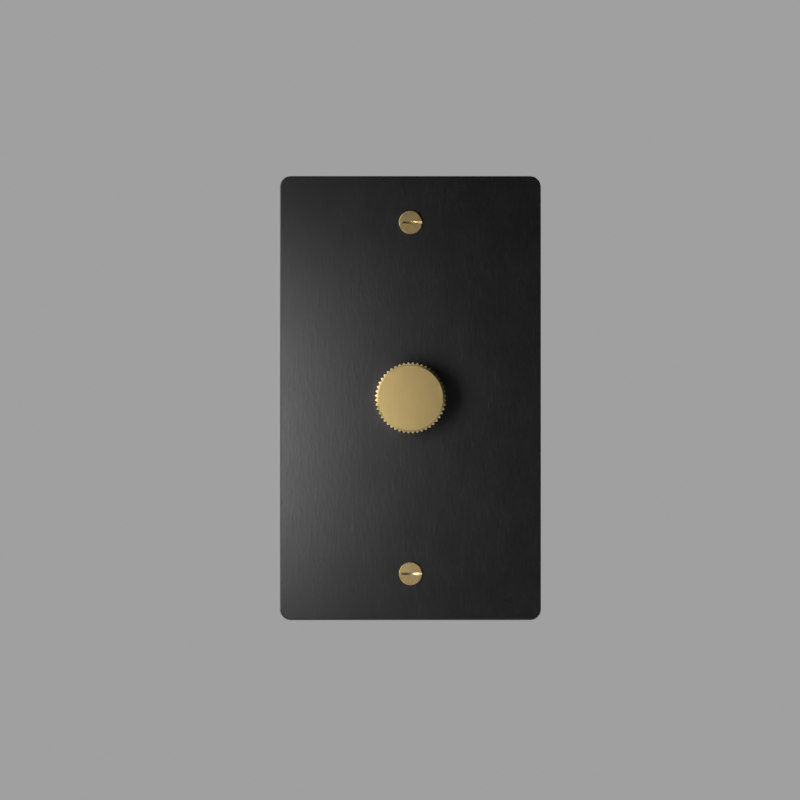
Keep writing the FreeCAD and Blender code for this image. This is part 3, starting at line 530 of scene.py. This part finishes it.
def slotted_screw(head, bevel, slot, shank, pitch, neck=None, corners=0, saw=SLOT_SAW):
    """Screw along +Y with its seat at y = 0 and a slot across X.

    Head and shank are a radius and a length, the slot a width and a depth. The head's face is ruled by
    rows of constant z, doubled at both slot walls; inside the slot the depth follows the circle of the
    saw. From the face's rim a ring grid runs down the chamfer, whose radius grows with depth until it
    meets the round or cornered outline, then down side, seat, neck and shank. The thread's radius is a
    clipped triangle wave of the depth over the pitch less the share of a turn."""
    radius, height = head
    shank_radius, length = shank
    slot_width, slot_depth = slot
    flat = radius - bevel
    lean = math.asin(slot_width / 2 / flat)
    outer = np.linspace(lean, math.pi / 2, HEAD_STEPS)
    tilt = np.concatenate([-outer[::-1], np.linspace(-lean, lean, SLOT_STEPS), outer])
    in_slot = np.zeros(tilt.size, bool)
    in_slot[HEAD_STEPS:HEAD_STEPS + SLOT_STEPS] = True

    def slot_floor(x):
        return slot_depth - height - saw + np.sqrt(saw ** 2 - x ** 2)

    across = np.sin(np.linspace(-1.0, 1.0, FACE_STEPS) * math.pi / 2)
    face_x = flat * np.cos(tilt)[:, None] * across
    face_y = np.where(in_slot[:, None], np.maximum(slot_floor(face_x), -height), -height)
    face_z = np.broadcast_to(flat * np.sin(tilt)[:, None], face_x.shape)
    face = np.stack([face_x, face_y, face_z], axis=-1)

    turn = np.concatenate([tilt, math.pi - tilt[::-1]])
    cut = np.concatenate([in_slot, in_slot[::-1]])
    plain = np.ones(turn.size)
    outline = radius * plain
    if corners:
        outline = radius / np.cos(turn % (2 * math.pi / corners) - math.pi / corners)
    drop = np.linspace(0.0, bevel, RIM_STEPS)[:, None]
    rim = np.minimum(outline, flat + drop * (outline.max() - flat) / bevel)
    rim_depth = np.where(cut, np.maximum(drop - height, slot_floor(rim * np.cos(turn))), drop - height)

    core = shank_radius - THREAD_DEPTH
    neck_radius, neck_end = neck or (core, THREAD_START)
    point = shank_radius * POINT_SHARE
    thread_end = length - point
    run = np.linspace(neck_end, thread_end, int(THREAD_STEPS * (thread_end - neck_end) / pitch))
    wave = (run[:, None] / pitch - turn / (2 * math.pi)) % 1.0
    crest = np.clip(THREAD_SLOPE * np.abs(2 * wave - 1) - THREAD_ROOT, 0.0, 1.0)
    fade = np.clip(np.minimum(run - neck_end, thread_end - run) / pitch, 0.0, 1.0)
    thread = core + THREAD_DEPTH * crest * fade[:, None]
    side = np.stack([outline, outline, neck_radius * plain, neck_radius * plain])
    end = np.outer((core, core - point, 0.0), plain)
    depth = np.concatenate([(-SEAT_EDGE, 0.0, 0.0, neck_end), run, (thread_end, length, length)])
    ring_radius = np.concatenate([rim, side, thread, end])
    ring_depth = np.concatenate([rim_depth, np.outer(depth, plain)])
    rings = np.stack([ring_radius * np.cos(turn), ring_depth, ring_radius * np.sin(turn)], axis=-1)
    return face, rings


def screw_piece(name, screw, spots, material, replaced):
    """Copies of one screw, each turned by a 3 by 3 matrix and set at a place, as one piece on the frame."""
    surfaces = [grid @ turning.T + np.array(place) for turning, place in spots for grid in screw]
    return piece(name, surfaces, material, "frame", [replaced])


bay_finish = finish("terminal_brass", metal(
    bright=(0.72, 0.53, 0.25), dull=(0.58, 0.40, 0.17), roughness=0.3,
    marks=(0.2 * MM, 2 * MM, 0.2 * MM), depth=0.01 * MM))
dress(bay_finish, "terminal_plate_common", "terminal_plate_traveller_upper",
      "terminal_plate_traveller_lower")
bay_low, bay_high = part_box("terminal_screws")
bay_head = (bay_high.y - bay_low.y) / 2
bay_depth = (bay_high.y + bay_low.y) / 2
facing_left = np.array([[0.0, 1.0, 0.0], [-1.0, 0.0, 0.0], [0.0, 0.0, 1.0]])
facing_right = facing_left * [-1.0, -1.0, 1.0]
bay_spots = [(facing_left, (bay_low.x + TERMINAL_HEIGHT, bay_depth, 0.0))]
for bay_z in (bay_low.z + bay_head, bay_high.z - bay_head):
    bay_spots.append((facing_right, (bay_high.x - TERMINAL_HEIGHT, bay_depth, bay_z)))
binding_screw = slotted_screw((bay_head, TERMINAL_HEIGHT), PAN_BEVEL, PAN_SLOT, TERMINAL_SHANK,
                              MACHINE_PITCH)
screw_piece("binding_screws", binding_screw, bay_spots, bay_finish, "terminal_screws")

# Mounting strap: pressed from aluminium sheet and tumbled; it carries every part and cools the triac.
# The scored fins and ears break off where space is short.
ALUMINIUM_DULL = (0.58, 0.59, 0.61)
ALUMINIUM_BRIGHT = (0.76, 0.77, 0.79)
ROLLED_LINES = (0.12 * MM, 1 * MM, 9 * MM)
SCUFF_MARKS = (1.1 * MM, 1.1 * MM, 0.5 * MM)
SCUFF_LEVEL = (0.6, 0.72)
GREY_BLOOM = 9 * MM
STRAP_RELIEF = 0.012 * MM


def strap_paint(place):
    """Pale aluminium with rolling lines along z, tumbled scuffs and a soft grey bloom."""
    rolled = grain(place, ROLLED_LINES, detail=3.0)
    scuffs = step(grain(place, SCUFF_MARKS, detail=4.0), *SCUFF_LEVEL)
    bloom = grain(place, GREY_BLOOM, detail=3.0)
    return {
        "Base Color": blend(rolled * 0.5 + bloom * 0.5, ALUMINIUM_DULL, ALUMINIUM_BRIGHT),
        "Metallic": 1.0,
        "Roughness": sway(0.36, (rolled, 0.16)) + scuffs * 0.1,
        "Normal": relief(rolled * 0.6 + scuffs * 0.4, STRAP_RELIEF),
    }


dress(finish("tumbled_aluminium", strap_paint), "mounting_strap")

# Housing screws: four pan heads of plated steel that pull the housing against the strap.
# They cut their own coarse thread in the bosses.
HOUSING_HEAD = (2.8 * MM, 1.6 * MM)
HOUSING_SHANK = (1.45 * MM, 12.0 * MM)
HOUSING_PITCH = 1.1 * MM

upright = np.eye(3)
strap_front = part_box("mounting_strap")[0].y
boss_low, boss_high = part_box("housing_screws")
boss_spots = [(upright, (x, strap_front, z))
              for x in (boss_low.x + HOUSING_HEAD[0], boss_high.x - HOUSING_HEAD[0])
              for z in (boss_low.z + HOUSING_HEAD[0], boss_high.z - HOUSING_HEAD[0])]
boss_screw = slotted_screw(HOUSING_HEAD, PAN_BEVEL, PAN_SLOT, HOUSING_SHANK, HOUSING_PITCH)
screw_piece("boss_screws", boss_screw, boss_spots, zinc_finish, "housing_screws")

# Triac screw: a short plated machine screw from the strap's front through pad and tab into its nut.
# It presses the tab flat, so that the strap can carry the heat away.
TRIAC_HEAD = (2.8 * MM, 1.6 * MM)
TRIAC_SHANK = 1.5 * MM

tab_low, tab_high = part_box("triac_screw")
tab_screw = slotted_screw(TRIAC_HEAD, PAN_BEVEL, PAN_SLOT, (TRIAC_SHANK, tab_high.y - strap_front),
                          MACHINE_PITCH)
screw_piece("tab_screw", tab_screw, [(upright, (0.0, strap_front, (tab_low.z + tab_high.z) / 2))],
            zinc_finish, "triac_screw")

# Box screws and retainers: long plated screws for the wall box, each with a thinner neck.
# A square of red fibre pushed over the neck keeps the screw from falling out.
BOX_HEAD = 3.2 * MM
BOX_SHANK = 1.75 * MM
BOX_NECK = (1.45 * MM, 3.1 * MM)

box_low, box_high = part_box("box_screws")
box_screw = slotted_screw((BOX_HEAD, strap_front - box_low.y), PAN_BEVEL, PAN_SLOT,
                          (BOX_SHANK, box_high.y - strap_front), MACHINE_PITCH, BOX_NECK)
box_spots = [(upright, (0.0, strap_front, z)) for z in (box_high.z - BOX_HEAD, box_low.z + BOX_HEAD)]
screw_piece("long_box_screws", box_screw, box_spots, zinc_finish, "box_screws")
dress(finish("red_fibre", moulded(
    colour=(0.30, 0.05, 0.025), pale=(0.42, 0.10, 0.05), roughness=0.7, pits=0.18 * MM, depth=0.03 * MM)),
    "screw_retainers")

# Ground screw: a slotted hexagon head of steel, dyed green, for the earth wire.
# It is driven from behind into the tapped hole of the strap below the housing.
GROUND_HEAD = (3.5 * MM, 2.2 * MM)
GROUND_BEVEL = 0.3 * MM
FLAT_SAW = 1000 * MM

ground_low, ground_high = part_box("ground_screw")
ground_seat = ground_high.y - GROUND_HEAD[1]
facing_back = np.diag([1.0, -1.0, -1.0])
ground_screw = slotted_screw(GROUND_HEAD, GROUND_BEVEL, PAN_SLOT, (BOX_SHANK, ground_seat - ground_low.y),
                             MACHINE_PITCH, corners=6, saw=FLAT_SAW)
ground_place = ((ground_low.x + ground_high.x) / 2, ground_seat, (ground_low.z + ground_high.z) / 2)
green_finish = finish("green_dye", metal(
    bright=(0.05, 0.36, 0.12), dull=(0.03, 0.24, 0.07), roughness=0.32, marks=0.3 * MM, depth=0.008 * MM))
screw_piece("green_ground_screw", ground_screw, [(facing_back, ground_place)], green_finish,
            "ground_screw")

# Face plate: a shallow tray of metal sheet with rounded corners, brushed up and down and coated black.
# Two brass screws hold it to the strap, and its rim rests on the wall.
COAT_DARK = (0.0014, 0.0014, 0.0015)
COAT_PALE = (0.0046, 0.0046, 0.0048)
COAT_GLOSS = 0.77
COAT_CLOUD = (8 * MM, 8 * MM, 10 * MM)
COAT_RELIEF = 0.02 * MM
FINE_MARKS = (0.6 * MM, 1 * MM, 2.6 * MM)
BROAD_MARKS = (1.8 * MM, 3 * MM, 4.0 * MM)
SHORT_DENTS = (1.0 * MM, 2 * MM, 2.2 * MM)
DENT_LEVEL = (0.52, 0.72)


def plate_paint(place):
    """Satin black coat over vertical brushing: long thin marks in relief, gloss and, faintly, colour."""
    fine = grain(place, FINE_MARKS)
    broad = grain(place, BROAD_MARKS, detail=3.0)
    dents = step(grain(place, SHORT_DENTS, detail=1.0), *DENT_LEVEL)
    cloud = grain(place, COAT_CLOUD)
    marks = (fine * 0.40 + broad * 0.40 + dents * 0.20) * (0.4 + cloud * 1.2)
    return {
        "Base Color": blend(marks, COAT_DARK, COAT_PALE),
        "Specular IOR Level": COAT_GLOSS,
        "Roughness": sway(0.35, (marks, 0.06), (cloud, 0.03)),
        "Normal": relief(marks, COAT_RELIEF),
    }


dress(finish("black_satin_coat", plate_paint), "face_plate")

# Plate screws: solid brass, turned, with a bevelled flat head and a slot cut by a round saw.
# They pass the plate and turn into the tapped ends of the strap.
PLATE_BEVEL = 0.15 * MM
PLATE_SLOT = (0.6 * MM, 0.85 * MM)
SLOT_EDGE = 0.04 * MM
HEAD_DULL = (0.60, 0.435, 0.185)
HEAD_BRIGHT = (0.77, 0.58, 0.27)
SAWN_BRASS = (0.90, 0.72, 0.40)
POLISH_MARKS = (0.08 * MM, 1 * MM, 2 * MM)
HEAD_CLOUD = 1.6 * MM
HEAD_RELIEF = 0.003 * MM

screw_low, screw_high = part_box("plate_screws")
plate_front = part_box("face_plate")[0].y
screw_head = (screw_high.x - screw_low.x) / 2
screw_reach = screw_high.z - screw_head


def screw_brass_paint(place):
    """Warm brass, a little dull, with faint cloud and straight polish marks; the sawn slot is bright."""
    _, y, z = axes(place)
    marks = grain(place, POLISH_MARKS)
    cloud = grain(place, HEAD_CLOUD)
    off_slot = (z * z) ** 0.5 - screw_reach
    half_slot = PLATE_SLOT[0] / 2
    sawn = 1 - step(off_slot * off_slot, half_slot ** 2, (half_slot + SLOT_EDGE) ** 2)
    sawn = sawn * step(y, screw_low.y + SLOT_EDGE, screw_low.y + 2 * SLOT_EDGE)
    head = blend(marks * 0.5 + cloud * 0.5, HEAD_DULL, HEAD_BRIGHT)
    return {
        "Base Color": blend(sawn, head, SAWN_BRASS),
        "Metallic": 1.0,
        "Roughness": sway(0.36, (marks, 0.1), (cloud, 0.08)) - sawn * 0.08,
        "Normal": relief(marks, HEAD_RELIEF),
    }


screw_brass = finish("screw_brass", screw_brass_paint)
plate_screw = slotted_screw((screw_head, plate_front - screw_low.y), PLATE_BEVEL, PLATE_SLOT,
                            (BOX_SHANK, screw_high.y - plate_front), MACHINE_PITCH)
plate_spots = [(upright, (0.0, plate_front, z)) for z in (screw_reach, -screw_reach)]
screw_piece("brass_plate_screws", plate_screw, plate_spots, screw_brass, "plate_screws")

# Knob: turned from brass bar, its grip cut with straight teeth, its cap faced smooth and brushed.
# A grub screw underneath clamps it to the flat of the shaft.
KNOB_TEETH = 48
TOOTH_DEPTH = 0.6 * MM
TOOTH_LAND = 0.11
TOOTH_SOFTNESS = 0.035
CAP_RADIUS = 8.85 * MM
CAP_HEIGHT = 1.5 * MM
CAP_BEVEL = 0.04 * MM
CAP_CROWN = 0.05 * MM
CAP_FOOT = 0.1 * MM
FRONT_CHAMFER = 0.85 * MM
REAR_CHAMFER = 0.4 * MM
BORE_RADIUS = 3.02 * MM
BORE_FLAT = 1.52 * MM
BORE_DEPTH = 9.5 * MM
GRUB_HOLE = 1.52 * MM
GRUB_OFFSET = 4.5 * MM
TOOTH_STEPS = 24
SOFT_STEPS = 5
CAP_SHARES = (0.0, 0.25, 0.5, 0.75, 0.95, 0.997)
BEVEL_STEPS = 6
CHAMFER_STEPS = 11
GRIP_STEPS = 5
GRUB_SIDES = 48
KNOB_CRISP = 30.0
CAP_DULL = (0.563, 0.415, 0.172)
CAP_BRIGHT = (0.673, 0.498, 0.220)
TOOTH_DULL = (0.66, 0.486, 0.201)
TOOTH_BRIGHT = (0.79, 0.586, 0.257)
# Pale tooth tips: partly rubbed wear, partly a painted highlight on the cut teeth.
TIP_PALE = (0.97, 0.88, 0.68)
TIP_PALE_WIDTH = 0.45 * MM
# Painted shade: a brown that darkens the ring of teeth next to the cap's foot, standing in for the shade of
# that corner.
PAINTED_CORNER_SHADE = (0.22, 0.15, 0.06)
CORNER_WIDTH = 0.45 * MM
FINE_BRUSH = (0.25 * MM, 3 * MM, 5 * MM)
BROAD_BRUSH = (0.9 * MM, 6 * MM, 7 * MM)
KNOB_CLOUD = 4 * MM
KNOB_RELIEF = 0.018 * MM


def toothed_knob(front, rear, tip):
    """Knob as angle by profile: every row has one depth and one radius for each angle.

    The cap's face is a shallow parabola that ends in a quarter round. On the grip the radius is the lesser
    of the chamfer cone and the tooth, a trapezoid wave of the angle whose corners are rounded by averaging
    over a small share of the pitch. The bore's radius is the lesser of its circle and the line of its
    flat."""
    turn = np.linspace(0.0, 2 * math.pi, KNOB_TEETH * TOOTH_STEPS + 1)
    phase = (turn - math.pi / 2) / (2 * math.pi) * KNOB_TEETH
    shifted = (phase[:, None] + np.linspace(-TOOTH_SOFTNESS, TOOTH_SOFTNESS, SOFT_STEPS)) % 1.0
    tooth = np.clip(2 * np.minimum(shifted, 1 - shifted) / (1 - TOOTH_LAND), 0.0, 1.0).mean(axis=1)
    grip = tip - TOOTH_DEPTH * (1 - tooth)
    plain = np.ones_like(turn)
    rim = front + CAP_CROWN
    base = front + CAP_HEIGHT
    rows = [(share * (CAP_RADIUS - CAP_BEVEL) * plain, front + CAP_CROWN * share ** 2)
            for share in CAP_SHARES]
    rows += [((CAP_RADIUS - CAP_BEVEL * (1 - math.sin(lean))) * plain,
              rim + CAP_BEVEL * (1 - math.cos(lean)))
             for lean in np.linspace(0.0, math.pi / 2, BEVEL_STEPS)]
    rows += [(CAP_RADIUS * plain, base - CAP_FOOT), (CAP_RADIUS * plain, base)]
    chamfer = np.linspace(0.0, 1.0, CHAMFER_STEPS)
    rows += [(np.minimum(grip, tip - FRONT_CHAMFER * (1 - share)), base + FRONT_CHAMFER * share)
             for share in chamfer]
    rows += [(grip, y) for y in np.linspace(base + FRONT_CHAMFER, rear - REAR_CHAMFER, GRIP_STEPS)[1:-1]]
    rows += [(np.minimum(grip, tip - REAR_CHAMFER * share), rear - REAR_CHAMFER * (1 - share))
             for share in chamfer[::2]]
    below = np.maximum(-np.sin(turn), BORE_FLAT / BORE_RADIUS)
    bore = BORE_FLAT / below
    rows += [(bore, rear), (bore, rear - BORE_DEPTH), (0.0 * plain, rear - BORE_DEPTH)]
    radius = np.stack([row[0] for row in rows])
    depth = np.array([row[1] for row in rows])[:, None] * plain
    return np.stack([radius * np.cos(turn), depth, radius * np.sin(turn)], axis=-1)


knob_low, knob_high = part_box("knob")
knob_tip = (knob_high.x - knob_low.x) / 2


def knob_paint(place):
    """Brass: the cap brushed up and down, the teeth cut bright, their tips rubbed pale and painted paler as
    a highlight, and painted shade in the corner below the cap.
    """
    x, y, z = axes(place)
    radius = (x * x + z * z) ** 0.5
    marks = grain(place, FINE_BRUSH) * 0.65 + grain(place, BROAD_BRUSH) * 0.35
    cloud = grain(place, KNOB_CLOUD, detail=3.0)
    patches = marks * 0.5 + cloud * 0.5
    cap = 1 - step(radius, CAP_RADIUS, CAP_RADIUS + CAP_BEVEL)
    # The tooth tips turn paler: partly rubbed wear, partly a painted highlight.
    tips = step(radius, knob_tip - TIP_PALE_WIDTH, knob_tip)
    under_cap = step(y, knob_low.y + CAP_HEIGHT / 2, knob_low.y + CAP_HEIGHT)
    # Painted shade: the base colour darkens in the corner ring where the teeth meet the cap.
    corner = under_cap * (1 - step(radius, CAP_RADIUS, CAP_RADIUS + CORNER_WIDTH))
    teeth = blend(patches, TOOTH_DULL, TOOTH_BRIGHT)
    brass = blend(cap, teeth, blend(patches, CAP_DULL, CAP_BRIGHT))
    rubbed_and_highlit = blend(tips * 0.9, brass, TIP_PALE)
    return {
        "Base Color": blend(corner * 0.4, rubbed_and_highlit, PAINTED_CORNER_SHADE),
        "Metallic": 1.0,
        "Roughness": sway(0.30, (marks, 0.10), (cloud, 0.05)) + cap * 0.12 - tips * 0.04 + corner * 0.1,
        "Normal": relief(marks, KNOB_RELIEF),
    }


brass_finish = finish("brushed_brass", knob_paint)
knob = piece("toothed_knob", [toothed_knob(knob_low.y, knob_high.y, knob_tip)], brass_finish, "knob",
             ["knob"], KNOB_CRISP)


def upright_bar(radius, y, bottom):
    """Closed round bar from the axis straight down to the bottom height."""
    turn = np.linspace(0.0, 2 * math.pi, GRUB_SIDES + 1)
    reach = np.array([0.0, radius, radius, 0.0])[:, None]
    height = np.array([0.0, 0.0, bottom, bottom])[:, None] * np.ones_like(turn)
    return np.stack([reach * np.cos(turn), y + reach * np.sin(turn), height], axis=-1)


drill_bar = upright_bar(GRUB_HOLE, knob_high.y - GRUB_OFFSET, -2 * knob_tip)
drill = bpy.data.objects.new("grub_drill", joined_mesh("grub_drill", [drill_bar], KNOB_CRISP))
bpy.context.scene.collection.objects.link(drill)
bored = knob.modifiers.new("grub_hole", "BOOLEAN")
bored.operation = "DIFFERENCE"
bored.solver = "MANIFOLD"
bored.object = drill
knob.data = bpy.data.meshes.new_from_object(knob.evaluated_get(bpy.context.evaluated_depsgraph_get()))
knob.data.set_sharp_from_angle(angle=math.radians(KNOB_CRISP))
knob.modifiers.clear()
bpy.data.objects.remove(drill)
dress(spring_finish, "grub_screw")

# Stage: a plain pale floor well below the part and soft boxes that the camera doesn't see.
# The key stands close by on the left front; a dim strip on the right front and fills below, above and
# behind open the shadows. The room glows on the left and behind, and is dark in front.
FLOOR_HEIGHT = -0.45
FLOOR_RADIUS = 2.6
FLOOR_RINGS = (0.0, 0.3, 1.0)
FLOOR_SIDES = 96
FLOOR_DARK = (0.72, 0.72, 0.72)
FLOOR_PALE = (0.78, 0.78, 0.78)
FLOOR_CLOUD = 0.4
KEY_HEIGHT = -11.3 * MM
ROOM_LEFT = (1.95, 1.96, 1.97)
ROOM_RIGHT = (0.008, 0.008, 0.008)
ROOM_FRONT = (0.003, 0.003, 0.003)
ROOM_REAR = (0.70, 0.70, 0.70)
ROOM_SEEN = (0.35, 0.35, 0.35)
LEFT_FALLOFF = 4.0
FRONT_HEADING = (0.45, -0.9)
FRONT_RANGE = (0.2, 0.6)
REAR_RANGE = (0.15, 0.55)


def disc(radius, height):
    """Flat disc: rings of growing radius about one pole."""
    turn = np.linspace(0.0, 2 * math.pi, FLOOR_SIDES + 1)
    reach = np.array(FLOOR_RINGS)[:, None] * radius
    level = np.full((len(FLOOR_RINGS), turn.size), height)
    return np.stack([reach * np.cos(turn), reach * np.sin(turn), level], axis=-1)


def floor_paint(place):
    """Pale matt floor with a barely visible mottle."""
    cloud = grain(place, FLOOR_CLOUD, detail=3.0)
    return {
        "Base Color": blend(cloud, FLOOR_DARK, FLOOR_PALE),
        "Roughness": sway(0.8, (cloud, 0.1)),
    }


floor = bpy.data.objects.new("floor", joined_mesh("floor", [disc(FLOOR_RADIUS, FLOOR_HEIGHT)]))
floor.data.materials.append(finish("pale_floor", floor_paint))
bpy.context.scene.collection.objects.link(floor)


def soft_box(name, place, aim, width, height, radiance):
    """Rectangular white light of a given radiance, turned toward a point and unseen by the camera."""
    lamp = bpy.data.lights.new(name, "AREA")
    lamp.shape = "RECTANGLE"
    lamp.size = width
    lamp.size_y = height
    lamp.energy = radiance * width * height * math.pi
    holder = bpy.data.objects.new(name, lamp)
    bpy.context.scene.collection.objects.link(holder)
    direction = Vector(aim) - Vector(place)
    holder.location = place
    holder.rotation_mode = "QUATERNION"
    holder.rotation_quaternion = direction.to_track_quat("-Z", "Y")
    holder.visible_camera = False


soft_box("key_box", place=(-68.3 * MM, -184 * MM, KEY_HEIGHT), aim=(0.0, plate_front, KEY_HEIGHT),
         width=53 * MM, height=91 * MM, radiance=6.35)
soft_box("right_strip", place=(0.56, -0.56, 0.03), aim=(0.0, 0.0, 0.0),
         width=0.10, height=0.5, radiance=1.1)
soft_box("low_fill", place=(-0.30, -0.06, -0.36), aim=(0.0, -0.02, 0.0),
         width=0.45, height=0.3, radiance=0.45)
soft_box("top_fill", place=(0.0, 0.45, 0.9), aim=(0.0, 0.1, 0.0),
         width=0.8, height=0.8, radiance=1.6)
soft_box("rear_fill", place=(0.35, 0.7, 0.35), aim=(0.0, 0.0, 0.0),
         width=0.5, height=0.5, radiance=2.0)

world = bpy.data.worlds.new("studio")
bpy.context.scene.world = world
world.use_nodes = True
sky = world.node_tree
heading = Tone(sky).node("ShaderNodeTexCoord", output="Generated")
right, inward, _ = axes(heading)
sides = blend((0.5 - right * 0.5) ** LEFT_FALLOFF, ROOM_RIGHT, ROOM_LEFT)
frontward = step(right * FRONT_HEADING[0] + inward * FRONT_HEADING[1], *FRONT_RANGE)
room = blend(step(inward, *REAR_RANGE), blend(frontward, sides, ROOM_FRONT), ROOM_REAR)
seen = heading.node("ShaderNodeLightPath", output="Is Camera Ray")
feed(sky, sky.nodes["Background"], {"Color": blend(seen, room, ROOM_SEEN)})

# Camera: straight in front of the plate, a little left of and below its centre, with a long lens.
# The width of its view is measured at the plate's front.
CAMERA_PLACE = (-2.89 * MM, -1.1, -0.55 * MM)
VIEW_WIDTH = 220.7 * MM
CLIP_START = 0.05

camera_data = bpy.data.cameras.new("camera")
camera_data.lens = camera_data.sensor_width * (plate_front - CAMERA_PLACE[1]) / VIEW_WIDTH
camera_data.clip_start = CLIP_START
camera = bpy.data.objects.new("camera", camera_data)
bpy.context.scene.collection.objects.link(camera)
camera.location = CAMERA_PLACE
camera.rotation_euler = (math.pi / 2, 0.0, 0.0)
bpy.context.scene.camera = camera
bpy.context.scene.view_settings.view_transform = "Standard"
